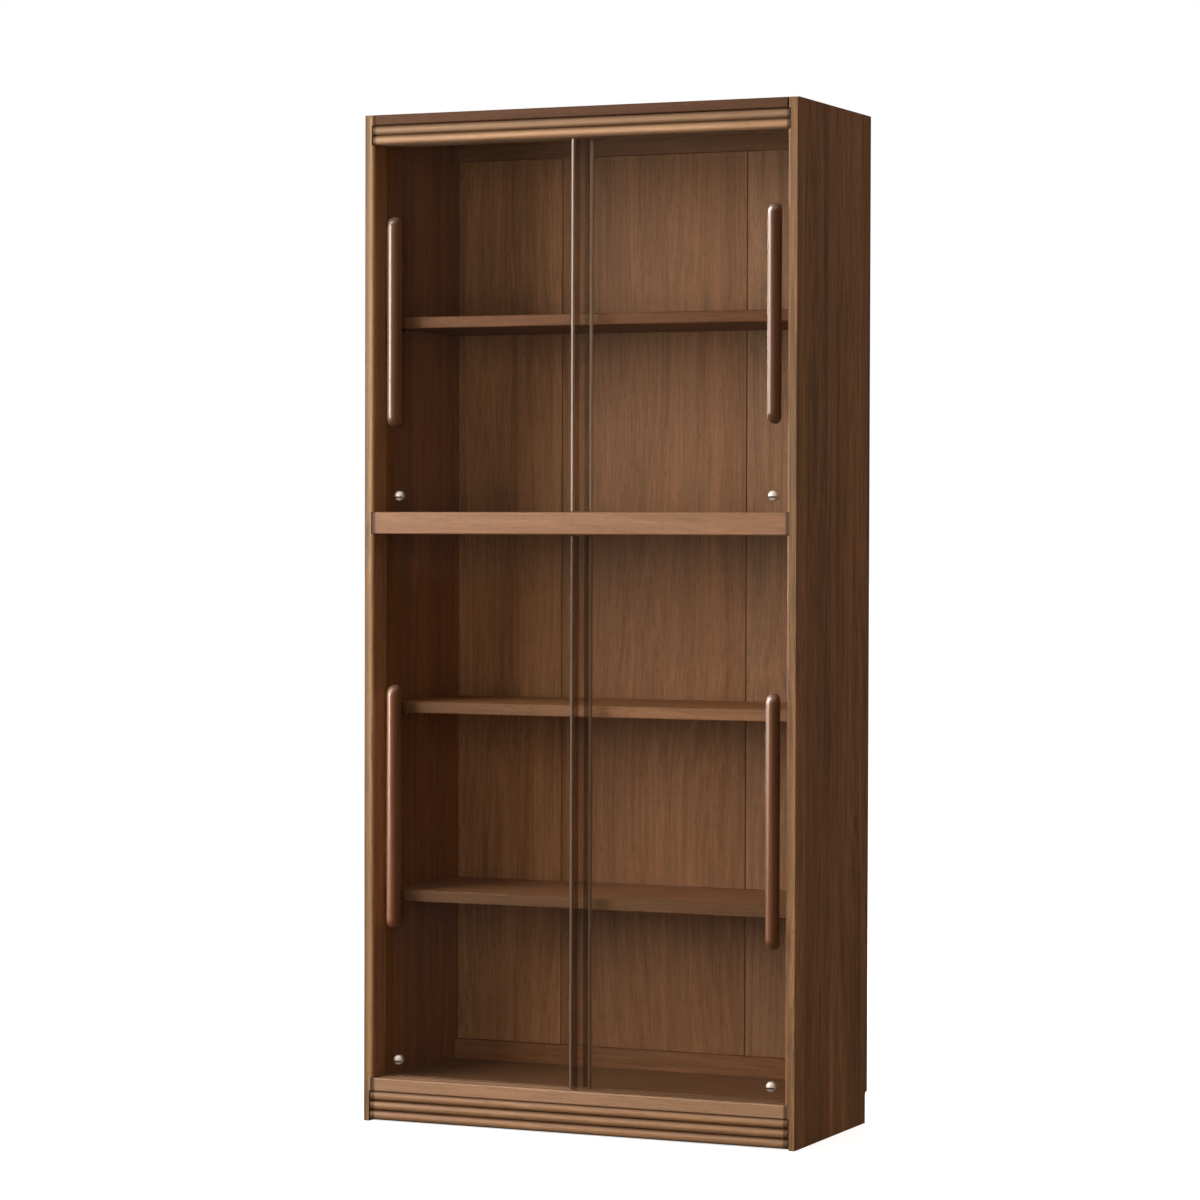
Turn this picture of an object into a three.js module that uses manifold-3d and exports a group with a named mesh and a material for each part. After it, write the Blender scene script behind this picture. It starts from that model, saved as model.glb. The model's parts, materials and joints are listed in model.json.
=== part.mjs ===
// Bookcase with two pairs of sliding glass doors.
// Millimetres, +Z up, +X to the right of someone facing the doors, +Y towards the back.
// The group's origin is on the floor, at the middle of the bookcase's outline.

import * as THREE from 'three';
import { mergeVertices } from 'three/addons/utils/BufferGeometryUtils.js';
import Module from 'manifold-3d';

const wasm = await Module();
wasm.setup();

// Outside of the carcass
const carcassWidth = 800;
const carcassDepth = 350;
const carcassHeight = 1740;

// Side panels
const sideThickness = 18;
const sideOuterEase = 1.5;
const sideInnerEase = 6;
const sideTopEase = 4;
const skirtingNotchDepth = 10;
const skirtingNotchHeight = 54;
const skirtingNotchRadius = 6;
const housingDepth = 6;
const railHousingDepth = 5;

// Boards between the side panels
const topBoardThickness = 18;
const topBoardSetback = 1;
const topBoardEase = 3;
const middleBoardThickness = 25;
const bottomBoardThickness = 20;
const bottomBoardDrop = 5;
const shelfThickness = 20;
const shelfFrontGap = 7;
const shelfBackGap = 2;
const shelfEndGap = 0.8;
const shelfEase = 2;

// Heights of the rails, and the lower doors' share of the height that is left for the two door openings
const plinthHeight = 52;
const bottomRailHeight = 23;
const middleRailHeight = 38;
const headRailHeight = 34;
const lowerOpeningShare = 0.5986;

// Shelf undersides, as shares of the height of their opening
const upperShelfShare = 0.504;
const middleShelfShare = 0.6695;
const lowerShelfShare = 0.321;

// Rails and their door tracks
const railSetback = 1.5;
const railEase = 2.5;
const trackFrontWall = 6;
const trackBackWall = 9;
const sillGrooveDepth = 10;
const headGrooveDepth = 14;

// Reeded mouldings
const headReedCount = 2;
const plinthReedCount = 3;
const reedDepth = 7;
const headReedSetback = 0.5;
const reedEndRadius = 5;
const railEndRadius = 4;
const plinthThickness = 18;
const plinthLap = 8;
const plinthLift = 2;

// Back boards and battens
const backThickness = 6;
const backRecess = 8;
const outerBackWidth = 204;
const backLap = 8;
const backShadowGap = 2;
const battenHeight = 35;
const battenThickness = 15;

// Glass doors
const paneThickness = 5;
const paneRun = 0.3;
const paneSideRun = 1;
const paneOverlap = 24;
const headEngagement = 5;

// Plastic liners in the lower tracks
const linerWall = 1;
const linerFit = 0.2;
const linerDrop = 0.5;

// Clear edge strips on the meeting edges of the panes
const stripWidth = 14;
const stripWall = 1;
const stripFit = 0.2;
const stripEndGap = 2;

// Handles
const handleWidth = 20;
const handleDepth = 22;
const handleEdgeRadius = 9.5;
const handleCornerRadius = 9;
const handleEndRadius = 19;
const handleInset = 12;
const handlePassGap = 3;
const upperHandleLength = 364;
const lowerHandleLength = 424;
const upperHandleShare = 0.52;
const lowerHandleShare = 0.497;
const handleScrewInset = 62;

// Handle screws
const screwRadius = 2;
const screwHeadRadius = 4.5;
const screwHeadHeight = 2.8;
const screwHeadCrown = 0.9;
const screwWasherRadius = 6;
const screwWasherThickness = 1;
const screwGrip = 14;
const screwHoleFit = 0.3;
const screwHoleSpare = 2;
const screwSlotWidth = 1.2;
const screwSlotDepth = 1.1;

// Round bumper buttons through the panes
const buttonRadius = 8.5;
const buttonThickness = 3;
const buttonCrown = 1.2;
const buttonBackRadius = 7;
const buttonBackThickness = 2.2;
const buttonShankRadius = 3;
const buttonHoleFit = 0.5;
const buttonFit = 0.15;
const buttonInset = 27;
const buttonRise = 28;
const buttonSlotWidth = 2;
const buttonSlotDepth = 1;

// Shelf pins
const pinRadius = 2.5;
const pinCollarRadius = 4.5;
const pinCollarThickness = 1.4;
const pinBuried = 9;
const pinReach = 9;
const pinTipEase = 0.6;
const pinHoleFit = 0.2;
const pinHoleSpare = 1.5;
const pinSeatGap = 0.2;
const pinFrontInset = 45;
const pinBackInset = 50;

// Fits between boards
const housingFit = 0.2;
const backFit = 0.2;
const endFit = 0.3;
const cutOverrun = 5;

// How finely curves are divided
const arcSegments = 6;
const reedSegments = 8;
const holeSegments = 20;
const turnSegments = 20;
const pinSegments = 12;

// Places that follow from the sizes above
const innerLeft = sideThickness;
const innerRight = carcassWidth - sideThickness;
const innerWidth = innerRight - innerLeft;
const bottomRailTop = plinthHeight + bottomRailHeight;
const topBoardBase = carcassHeight - topBoardThickness;
const headRailBase = topBoardBase - headRailHeight;
const lowerOpeningHeight = (headRailBase - bottomRailTop - middleRailHeight) * lowerOpeningShare;
const middleRailBase = bottomRailTop + lowerOpeningHeight;
const middleRailTop = middleRailBase + middleRailHeight;
const upperOpeningHeight = headRailBase - middleRailTop;
const bottomBoardTop = bottomRailTop - bottomBoardDrop;
const bottomBoardBase = bottomBoardTop - bottomBoardThickness;
const middleBoardBase = middleRailTop - middleBoardThickness;
const grooveSlack = paneRun + linerWall + linerFit;
const stripProud = stripFit + stripWall;
const frontPaneY = railSetback + trackFrontWall + grooveSlack;
const rearPaneY = frontPaneY + paneThickness + stripProud + handlePassGap + handleDepth;
const railBack = rearPaneY + paneThickness + grooveSlack + trackBackWall;
const backBoardY = carcassDepth - backRecess - backThickness;
const paneWidth = (innerWidth + paneOverlap) / 2 - paneSideRun;
const shelfFrontY = railBack + shelfFrontGap;
const shelfBackY = backBoardY - shelfBackGap;

// Finishes
const finishes = {
  carcass: { color: 0x6b4a34, roughness: 0.5, metalness: 0 },
  moulding: { color: 0x8a6446, roughness: 0.5, metalness: 0 },
  inside: { color: 0x6f4e37, roughness: 0.55, metalness: 0 },
  handle: { color: 0x7a4d38, roughness: 0.35, metalness: 0 },
  glass: { color: 0xb9b2a0, roughness: 0.05, metalness: 0, transparent: true, opacity: 0.25 },
  strip: { color: 0xd8cbb4, roughness: 0.2, metalness: 0, transparent: true, opacity: 0.5 },
  liner: { color: 0x3a2a20, roughness: 0.6, metalness: 0 },
  steel: { color: 0xb8b5b0, roughness: 0.3, metalness: 1 },
  button: { color: 0xd8d4cf, roughness: 0.25, metalness: 0.8 },
};

// Turns a closed geometry into a solid that can be cut and joined
function toSolid(geometry) {
  const bare = geometry.clone();
  bare.deleteAttribute('normal');
  bare.deleteAttribute('uv');
  const merged = mergeVertices(bare);
  const index = merged.getIndex().array;
  const corners = [];
  for (let i = 0; i < index.length; i += 3) {
    const [a, b, c] = [index[i], index[i + 1], index[i + 2]];
    if (a !== b && b !== c && c !== a) {
      corners.push(a, b, c);
    }
  }
  const vertProperties = new Float32Array(merged.getAttribute('position').array);
  const triVerts = new Uint32Array(corners);
  return new wasm.Manifold(new wasm.Mesh({ numProp: 3, vertProperties, triVerts }));
}

// Turns a solid back into a geometry
function toGeometry(solid) {
  const mesh = solid.getMesh();
  const geometry = new THREE.BufferGeometry();
  geometry.setAttribute('position', new THREE.BufferAttribute(new Float32Array(mesh.vertProperties), 3));
  geometry.setIndex(new THREE.BufferAttribute(new Uint32Array(mesh.triVerts), 1));
  geometry.computeVertexNormals();
  return geometry;
}

// Takes each cutter away from a body
function cut(body, cutters) {
  return cutters.reduce((solid, cutter) => solid.subtract(cutter), body);
}

// A block between two corners
function block([x0, y0, z0], [x1, y1, z1]) {
  const geometry = new THREE.BoxGeometry(x1 - x0, y1 - y0, z1 - z0);
  geometry.translate((x0 + x1) / 2, (y0 + y1) / 2, (z0 + z1) / 2);
  return toSolid(geometry);
}

// An outline in X and Y, carried from z0 up to z1
function prismZ(outline, z0, z1, curveSegments = arcSegments) {
  const geometry = new THREE.ExtrudeGeometry(outline, { depth: z1 - z0, bevelEnabled: false, curveSegments });
  geometry.translate(0, 0, z0);
  return toSolid(geometry);
}

// An outline in Y and Z, carried from x0 across to x1
function prismX(outline, x0, x1, curveSegments = arcSegments) {
  const geometry = new THREE.ExtrudeGeometry(outline, { depth: x1 - x0, bevelEnabled: false, curveSegments });
  const turn = new THREE.Matrix4().makeBasis(
    new THREE.Vector3(0, 1, 0),
    new THREE.Vector3(0, 0, 1),
    new THREE.Vector3(1, 0, 0),
  );
  geometry.applyMatrix4(turn);
  geometry.translate(x0, 0, 0);
  return toSolid(geometry);
}

// An outline in X and Z, carried from y0 back to y1
function prismY(outline, y0, y1, curveSegments = arcSegments) {
  const geometry = new THREE.ExtrudeGeometry(outline, { depth: y1 - y0, bevelEnabled: false, curveSegments });
  const turn = new THREE.Matrix4().makeBasis(
    new THREE.Vector3(1, 0, 0),
    new THREE.Vector3(0, 0, 1),
    new THREE.Vector3(0, -1, 0),
  );
  geometry.applyMatrix4(turn);
  geometry.translate(0, y1, 0);
  return toSolid(geometry);
}

// A rectangle whose four corners are rounded, each by its own radius, in turn from the low corner
function roundedOutline(x0, y0, x1, y1, [lowLow, highLow, highHigh, lowHigh]) {
  const outline = new THREE.Shape();
  const quarter = Math.PI / 2;
  outline.moveTo(x0 + lowLow, y0);
  outline.lineTo(x1 - highLow, y0);
  if (highLow > 0) {
    outline.absarc(x1 - highLow, y0 + highLow, highLow, -quarter, 0, false);
  }
  outline.lineTo(x1, y1 - highHigh);
  if (highHigh > 0) {
    outline.absarc(x1 - highHigh, y1 - highHigh, highHigh, 0, quarter, false);
  }
  outline.lineTo(x0 + lowHigh, y1);
  if (lowHigh > 0) {
    outline.absarc(x0 + lowHigh, y1 - lowHigh, lowHigh, quarter, 2 * quarter, false);
  }
  outline.lineTo(x0, y0 + lowLow);
  if (lowLow > 0) {
    outline.absarc(x0 + lowLow, y0 + lowLow, lowLow, 2 * quarter, 3 * quarter, false);
  }
  return outline;
}

// A turned piece whose axis lies along Y: each station is a radius and a place along the axis
function turnedY(stations, x, z, segments = turnSegments) {
  const profile = stations.map(([radius, y]) => new THREE.Vector2(radius, y));
  const geometry = new THREE.LatheGeometry(profile, segments);
  geometry.translate(x, 0, z);
  return toSolid(geometry);
}

// A turned piece whose axis lies along X
function turnedX(stations, y, z, segments) {
  const profile = stations.map(([radius, x]) => new THREE.Vector2(radius, x));
  const geometry = new THREE.LatheGeometry(profile, segments);
  geometry.rotateZ(-Math.PI / 2);
  geometry.translate(0, y, z);
  return toSolid(geometry);
}

// A round hole along Y
function holeY(radius, x, z, y0, y1) {
  return turnedY([[0, y0], [radius, y0], [radius, y1], [0, y1]], x, z, holeSegments);
}

// A round hole along X
function holeX(radius, y, z, x0, x1) {
  return turnedX([[0, x0], [radius, x0], [radius, x1], [0, x1]], y, z, pinSegments);
}

// Reflects a solid from the left half of the bookcase to the right half
function mirrored(solid) {
  return solid.mirror([1, 0, 0]).translate([carcassWidth, 0, 0]);
}

const bookcase = new THREE.Group();

// Adds one named piece to the bookcase
function addPiece(name, solid, finish) {
  const mesh = new THREE.Mesh(toGeometry(solid), new THREE.MeshStandardMaterial(finishes[finish]));
  mesh.name = name;
  bookcase.add(mesh);
}

// Shelves, each with its name and the height of its underside
const shelves = [
  { name: 'upper', base: middleRailTop + upperOpeningHeight * upperShelfShare },
  { name: 'middle', base: bottomRailTop + lowerOpeningHeight * middleShelfShare },
  { name: 'lower', base: bottomRailTop + lowerOpeningHeight * lowerShelfShare },
];
const pinPlaces = [
  { name: 'front', y: shelfFrontY + pinFrontInset },
  { name: 'back', y: shelfBackY - pinBackInset },
];

// Height of a shelf pin's axis under its shelf
function pinHeight(shelf) {
  return shelf.base - pinSeatGap - pinRadius;
}

// Left side panel: nosed front edge, housings for the boards, groove for the back, skirting notch
function leftSidePanel() {
  const plan = roundedOutline(0, 0, sideThickness, carcassDepth, [sideOuterEase, sideInnerEase, 0, 0]);
  const side = new THREE.Shape();
  side.moveTo(0, 0);
  side.lineTo(carcassDepth - skirtingNotchDepth, 0);
  side.lineTo(carcassDepth - skirtingNotchDepth, skirtingNotchHeight - skirtingNotchRadius);
  side.absarc(
    carcassDepth - skirtingNotchDepth + skirtingNotchRadius,
    skirtingNotchHeight - skirtingNotchRadius,
    skirtingNotchRadius,
    Math.PI,
    Math.PI / 2,
    true,
  );
  side.lineTo(carcassDepth, skirtingNotchHeight);
  side.lineTo(carcassDepth, carcassHeight);
  side.lineTo(sideTopEase, carcassHeight);
  side.absarc(sideTopEase, carcassHeight - sideTopEase, sideTopEase, Math.PI / 2, Math.PI, false);
  side.lineTo(0, 0);
  const body = prismZ(plan, 0, carcassHeight).intersect(prismX(side, 0, sideThickness));

  const housingX = sideThickness - housingDepth;
  const beyond = sideThickness + cutOverrun;
  const housing = (y0, y1, z0, z1) => block([housingX, y0, z0], [beyond, y1, z1]);
  const housingFront = railBack - housingFit;
  const housingBack = backBoardY + backFit;
  const railHousing = (z0, z1) => block(
    [sideThickness - railHousingDepth, -cutOverrun, z0 - housingFit],
    [beyond, railBack + housingFit, z1 + housingFit],
  );
  const housings = [
    railHousing(plinthHeight, bottomRailTop),
    railHousing(middleRailBase, middleRailTop),
    railHousing(headRailBase, topBoardBase),
    housing(housingFront, carcassDepth + cutOverrun, topBoardBase - housingFit, carcassHeight + cutOverrun),
    housing(housingFront, housingBack, middleBoardBase - housingFit, middleRailTop + housingFit),
    housing(housingFront, housingBack, bottomBoardBase - housingFit, bottomBoardTop + housingFit),
  ];
  const backGroove = block(
    [housingX, backBoardY - backFit, -cutOverrun],
    [beyond, backBoardY + backThickness + backFit, carcassHeight + cutOverrun],
  );
  const plinthRebate = block(
    [sideThickness - plinthLap, -cutOverrun, -cutOverrun],
    [beyond, plinthThickness + housingFit, plinthHeight + housingFit],
  );
  const pinHoles = shelves.flatMap((shelf) => pinPlaces.map((place) => holeX(
    pinRadius + pinHoleFit,
    place.y,
    pinHeight(shelf),
    sideThickness - pinBuried - pinHoleSpare,
    beyond,
  )));
  return cut(body, [...housings, backGroove, plinthRebate, ...pinHoles]);
}

// Top board: eased front edge between the side panels, ends housed behind the head rail
function topBoard() {
  const section = roundedOutline(
    topBoardSetback,
    topBoardBase,
    carcassDepth,
    carcassHeight,
    [topBoardEase, 0, 0, topBoardEase],
  );
  const housed = block(
    [innerLeft - housingDepth + endFit, railBack, topBoardBase],
    [innerRight + housingDepth - endFit, carcassDepth, carcassHeight],
  );
  return prismX(section, innerLeft, innerRight).add(housed);
}

// A board whose ends are housed in the side panels, from the rails to the back boards
function housedBoard(base, top) {
  return block(
    [innerLeft - housingDepth + endFit, railBack, base],
    [innerRight + housingDepth - endFit, backBoardY, top],
  );
}

// The two door grooves of a track, over a stretch of height
function trackGrooves(z0, z1) {
  return [frontPaneY, rearPaneY].map((paneY) => block(
    [-cutOverrun, paneY - grooveSlack, z0],
    [carcassWidth + cutOverrun, paneY + paneThickness + grooveSlack, z1],
  ));
}

// Outline of a reeded front in Y and Z: equal round reeds from z0 up to z1, flat behind at backY
function reededOutline(crestY, backY, z0, z1, count) {
  const valleyY = crestY + reedDepth;
  const reedHeight = (z1 - z0) / count;
  const outline = new THREE.Shape();
  outline.moveTo(valleyY, z0);
  outline.lineTo(backY, z0);
  outline.lineTo(backY, z1);
  outline.lineTo(valleyY, z1);
  for (let reed = count - 1; reed >= 0; reed -= 1) {
    const centreZ = z0 + (reed + 0.5) * reedHeight;
    for (let step = 1; step <= reedSegments; step += 1) {
      const angle = Math.PI * (0.5 + step / reedSegments);
      outline.lineTo(valleyY + reedDepth * Math.cos(angle), centreZ + (reedHeight / 2) * Math.sin(angle));
    }
  }
  return outline;
}

// A bar of one section, its front corners rounded where its ends enter the side panels
function barBetweenSides(section, endLap, endRadius, z0, z1) {
  const left = innerLeft - endLap;
  const right = innerRight + endLap;
  const plan = roundedOutline(left, 0, right, carcassDepth, [endRadius, endRadius, 0, 0]);
  return prismX(section, left, right).intersect(prismZ(plan, z0, z1));
}

// Head rail: two reeds in front, two grooves under it for the upper doors
function headRail() {
  const outline = reededOutline(headReedSetback, railBack, headRailBase, topBoardBase, headReedCount);
  const lap = railHousingDepth - endFit;
  const body = barBetweenSides(outline, lap, reedEndRadius, headRailBase, topBoardBase);
  return cut(body, trackGrooves(headRailBase - cutOverrun, headRailBase + headGrooveDepth));
}

// Middle rail: tracks for the upper doors on top and for the lower doors below
function middleRail() {
  const outline = roundedOutline(
    railSetback,
    middleRailBase,
    railBack,
    middleRailTop,
    [railEase, 0, 0, railEase],
  );
  const lap = railHousingDepth - endFit;
  const body = barBetweenSides(outline, lap, railEndRadius, middleRailBase, middleRailTop);
  return cut(body, [
    ...trackGrooves(middleRailTop - sillGrooveDepth, middleRailTop + cutOverrun),
    ...trackGrooves(middleRailBase - cutOverrun, middleRailBase + headGrooveDepth),
  ]);
}

// Bottom rail: tracks for the lower doors on top
function bottomRail() {
  const outline = roundedOutline(
    railSetback,
    plinthHeight,
    railBack,
    bottomRailTop,
    [railEase, 0, 0, railEase],
  );
  const lap = railHousingDepth - endFit;
  const body = barBetweenSides(outline, lap, railEndRadius, plinthHeight, bottomRailTop);
  return cut(body, trackGrooves(bottomRailTop - sillGrooveDepth, bottomRailTop + cutOverrun));
}

// Plinth: three reeds, its ends lapped into the side panels, which alone stand on the floor
function plinth() {
  const outline = reededOutline(0, plinthThickness, plinthLift, plinthHeight, plinthReedCount);
  return barBetweenSides(outline, plinthLap - endFit, reedEndRadius, plinthLift, plinthHeight);
}

// Back boards: the two outer ones lap behind the edges of the centre one, with a shadow gap in front
const backTop = topBoardBase - endFit;
const backBottom = bottomBoardBase;
const backMiddleY = backBoardY + backThickness / 2;

function leftBackBoard() {
  const start = innerLeft - housingDepth + endFit;
  const edge = innerLeft + outerBackWidth;
  const outline = new THREE.Shape();
  outline.moveTo(start, backBoardY);
  outline.lineTo(edge, backBoardY);
  outline.lineTo(edge, backMiddleY + backFit);
  outline.lineTo(edge + backLap, backMiddleY + backFit);
  outline.lineTo(edge + backLap, backBoardY + backThickness);
  outline.lineTo(start, backBoardY + backThickness);
  outline.lineTo(start, backBoardY);
  return prismZ(outline, backBottom, backTop);
}

function centreBackBoard() {
  const left = innerLeft + outerBackWidth + backShadowGap;
  const right = carcassWidth - left;
  const shoulder = backLap - backShadowGap + endFit;
  const outline = new THREE.Shape();
  outline.moveTo(left, backBoardY);
  outline.lineTo(right, backBoardY);
  outline.lineTo(right, backMiddleY);
  outline.lineTo(right - shoulder, backMiddleY);
  outline.lineTo(right - shoulder, backBoardY + backThickness);
  outline.lineTo(left + shoulder, backBoardY + backThickness);
  outline.lineTo(left + shoulder, backMiddleY);
  outline.lineTo(left, backMiddleY);
  outline.lineTo(left, backBoardY);
  return prismZ(outline, backBottom, backTop);
}

// A batten across the inside of the back
function batten(base) {
  return block(
    [innerLeft, backBoardY - battenThickness, base],
    [innerRight, backBoardY, base + battenHeight],
  );
}

// A loose shelf with an eased front edge
function shelfBoard(shelf) {
  const section = roundedOutline(
    shelfFrontY,
    shelf.base,
    shelfBackY,
    shelf.base + shelfThickness,
    [shelfEase, 0, 0, shelfEase],
  );
  return prismX(section, innerLeft + shelfEndGap, innerRight - shelfEndGap);
}

// A turned shelf pin in the left side panel
function leftShelfPin(shelf, place) {
  const collarEnd = sideThickness + pinCollarThickness;
  const tip = collarEnd + pinReach;
  const root = sideThickness - pinBuried;
  const stations = [
    [0, root],
    [pinRadius - pinTipEase, root],
    [pinRadius, root + pinTipEase],
    [pinRadius, sideThickness],
    [pinCollarRadius, sideThickness],
    [pinCollarRadius, collarEnd],
    [pinRadius, collarEnd],
    [pinRadius, tip - pinTipEase],
    [pinRadius - pinTipEase, tip],
    [0, tip],
  ];
  const pin = turnedX(stations, place.y, pinHeight(shelf), pinSegments);
  const shelfSpace = block(
    [0, place.y - pinCollarRadius - cutOverrun, shelf.base - pinSeatGap],
    [tip + cutOverrun, place.y + pinCollarRadius + cutOverrun, shelf.base + cutOverrun],
  );
  return pin.subtract(shelfSpace);
}

// A channel liner in the bottom of one lower groove
function trackLiner(paneY, railTop) {
  const base = railTop - sillGrooveDepth;
  const top = railTop - linerDrop;
  const outer = paneY - grooveSlack + linerFit;
  const inner = paneY - paneRun;
  const width = paneThickness + 2 * paneRun;
  const body = block([innerLeft, outer, base], [innerRight, inner + width + linerWall, top]);
  const channel = block(
    [innerLeft - cutOverrun, inner, base + linerWall],
    [innerRight + cutOverrun, inner + width, top + cutOverrun],
  );
  return body.subtract(channel);
}

// Door openings, each with its name, the rail it stands on, the rail over it and its handle
const openings = [
  {
    name: 'upper',
    railTop: middleRailTop,
    headBase: headRailBase,
    handleLength: upperHandleLength,
    handleRise: upperOpeningHeight * upperHandleShare,
  },
  {
    name: 'lower',
    railTop: bottomRailTop,
    headBase: middleRailBase,
    handleLength: lowerHandleLength,
    handleRise: lowerOpeningHeight * lowerHandleShare,
  },
];

// Heights of the two screws of a handle
function screwHeights(opening) {
  const centre = opening.railTop + opening.handleRise;
  const reach = opening.handleLength / 2 - handleScrewInset;
  return [centre - reach, centre + reach];
}

// Pieces of a door are made at the left of the bookcase, then mirrored for a right-hand door
const paneLeft = innerLeft + paneSideRun;
const handleLeft = paneLeft + handleInset;
const handleCentreX = handleLeft + handleWidth / 2;
const buttonX = paneLeft + buttonInset;

// A pane with its drilled holes
function pane(opening, paneY) {
  const base = opening.railTop - sillGrooveDepth + linerWall + paneRun;
  const top = opening.headBase + headEngagement;
  const sheet = block([paneLeft, paneY, base], [paneLeft + paneWidth, paneY + paneThickness, top]);
  const y0 = paneY - cutOverrun;
  const y1 = paneY + paneThickness + cutOverrun;
  const screwHoles = screwHeights(opening).map(
    (height) => holeY(screwRadius + screwHoleFit, handleCentreX, height, y0, y1),
  );
  const buttonHole = holeY(
    buttonShankRadius + buttonHoleFit,
    buttonX,
    opening.railTop + buttonRise,
    y0,
    y1,
  );
  return cut(sheet, [...screwHoles, buttonHole]);
}

// A handle: a bar with rounded front edges whose ends are rounded from the front and curve back to the
// glass, drilled for its screws
function handle(opening, paneY) {
  const centre = opening.railTop + opening.handleRise;
  const base = centre - opening.handleLength / 2;
  const top = centre + opening.handleLength / 2;
  const front = paneY - handleDepth;
  const plan = roundedOutline(
    handleLeft,
    front,
    handleLeft + handleWidth,
    paneY,
    [handleEdgeRadius, handleEdgeRadius, 0, 0],
  );
  const side = roundedOutline(front, base, paneY, top, [handleEndRadius, 0, 0, handleEndRadius]);
  const face = roundedOutline(
    handleLeft,
    base,
    handleLeft + handleWidth,
    top,
    [handleCornerRadius, handleCornerRadius, handleCornerRadius, handleCornerRadius],
  );
  const body = prismZ(plan, base, top)
    .intersect(prismX(side, handleLeft, handleLeft + handleWidth, reedSegments))
    .intersect(prismY(face, front, paneY, reedSegments));
  const holes = screwHeights(opening).map((height) => holeY(
    screwRadius + screwHoleFit,
    handleCentreX,
    height,
    paneY - screwGrip - screwHoleSpare,
    paneY + cutOverrun,
  ));
  return cut(body, holes);
}

// A slotted screw with its washer, driven from behind the pane into the handle
function handleScrew(paneY, height) {
  const back = paneY + paneThickness;
  const washerEnd = back + screwWasherThickness;
  const headEnd = washerEnd + screwHeadHeight;
  const stations = [
    [0, paneY - screwGrip],
    [screwRadius, paneY - screwGrip],
    [screwRadius, back],
    [screwWasherRadius, back],
    [screwWasherRadius, washerEnd],
    [screwHeadRadius, washerEnd],
    [screwHeadRadius, headEnd - screwHeadCrown],
    [screwHeadRadius - screwHeadCrown, headEnd],
    [0, headEnd],
  ];
  const slot = block(
    [handleCentreX - screwHeadRadius - cutOverrun, headEnd - screwSlotDepth, height - screwSlotWidth / 2],
    [handleCentreX + screwHeadRadius + cutOverrun, headEnd + cutOverrun, height + screwSlotWidth / 2],
  );
  return turnedY(stations, handleCentreX, height, pinSegments).subtract(slot);
}

// A slotted round button whose shank passes through the pane to a smaller disc behind it
function bumperButton(opening, paneY) {
  const height = opening.railTop + buttonRise;
  const frontFace = paneY - buttonFit;
  const backFace = paneY + paneThickness + buttonFit;
  const frontEnd = frontFace - buttonThickness;
  const stations = [
    [0, frontEnd],
    [buttonRadius - 2 * buttonCrown, frontEnd],
    [buttonRadius - buttonCrown / 2, frontEnd + buttonCrown / 2],
    [buttonRadius, frontEnd + 2 * buttonCrown],
    [buttonRadius, frontFace],
    [buttonShankRadius, frontFace],
    [buttonShankRadius, backFace],
    [buttonBackRadius, backFace],
    [buttonBackRadius, backFace + buttonBackThickness],
    [0, backFace + buttonBackThickness],
  ];
  const slot = block(
    [buttonX - buttonRadius - cutOverrun, frontEnd - cutOverrun, height - buttonSlotWidth / 2],
    [buttonX + buttonRadius + cutOverrun, frontEnd + buttonSlotDepth, height + buttonSlotWidth / 2],
  );
  return turnedY(stations, buttonX, height).subtract(slot);
}

// A clear channel strip over the pane's meeting edge
function edgeStrip(opening, paneY) {
  const base = opening.railTop + stripEndGap;
  const top = opening.headBase - stripEndGap;
  const edge = paneLeft + paneWidth;
  const body = block(
    [edge + stripProud - stripWidth, paneY - stripProud, base],
    [edge + stripProud, paneY + paneThickness + stripProud, top],
  );
  const channel = block(
    [edge + stripProud - stripWidth - cutOverrun, paneY - stripFit, base - cutOverrun],
    [edge + stripFit, paneY + paneThickness + stripFit, top + cutOverrun],
  );
  return body.subtract(channel);
}

// Adds every piece of one door: the left doors run in the rear track, the right doors in the front one
function addDoor(opening, side) {
  const paneY = side === 'left' ? rearPaneY : frontPaneY;
  const place = side === 'left' ? (solid) => solid : mirrored;
  const prefix = `${opening.name}_${side}`;
  addPiece(`${prefix}_pane`, place(pane(opening, paneY)), 'glass');
  addPiece(`${prefix}_handle`, place(handle(opening, paneY)), 'handle');
  addPiece(`${prefix}_edge_strip`, place(edgeStrip(opening, paneY)), 'strip');
  addPiece(`${prefix}_button`, place(bumperButton(opening, paneY)), 'button');
  const [low, high] = screwHeights(opening);
  addPiece(`${prefix}_handle_screw_low`, place(handleScrew(paneY, low)), 'steel');
  addPiece(`${prefix}_handle_screw_high`, place(handleScrew(paneY, high)), 'steel');
}

// Carcass
addPiece('left_side_panel', leftSidePanel(), 'carcass');
addPiece('right_side_panel', mirrored(leftSidePanel()), 'carcass');
addPiece('top_board', topBoard(), 'carcass');
addPiece('middle_board', housedBoard(middleBoardBase, middleRailTop), 'inside');
addPiece('bottom_board', housedBoard(bottomBoardBase, bottomBoardTop), 'inside');
addPiece('head_rail', headRail(), 'moulding');
addPiece('middle_rail', middleRail(), 'moulding');
addPiece('bottom_rail', bottomRail(), 'moulding');
addPiece('plinth', plinth(), 'moulding');

// Back
addPiece('left_back_board', leftBackBoard(), 'inside');
addPiece('centre_back_board', centreBackBoard(), 'inside');
addPiece('right_back_board', mirrored(leftBackBoard()), 'inside');
addPiece('top_back_batten', batten(topBoardBase - battenHeight), 'inside');
addPiece('bottom_back_batten', batten(bottomBoardTop), 'inside');

// Shelves and their pins
for (const shelf of shelves) {
  addPiece(`${shelf.name}_shelf`, shelfBoard(shelf), 'inside');
  for (const place of pinPlaces) {
    const pin = leftShelfPin(shelf, place);
    addPiece(`${shelf.name}_shelf_pin_left_${place.name}`, pin, 'steel');
    addPiece(`${shelf.name}_shelf_pin_right_${place.name}`, mirrored(pin), 'steel');
  }
}

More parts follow.
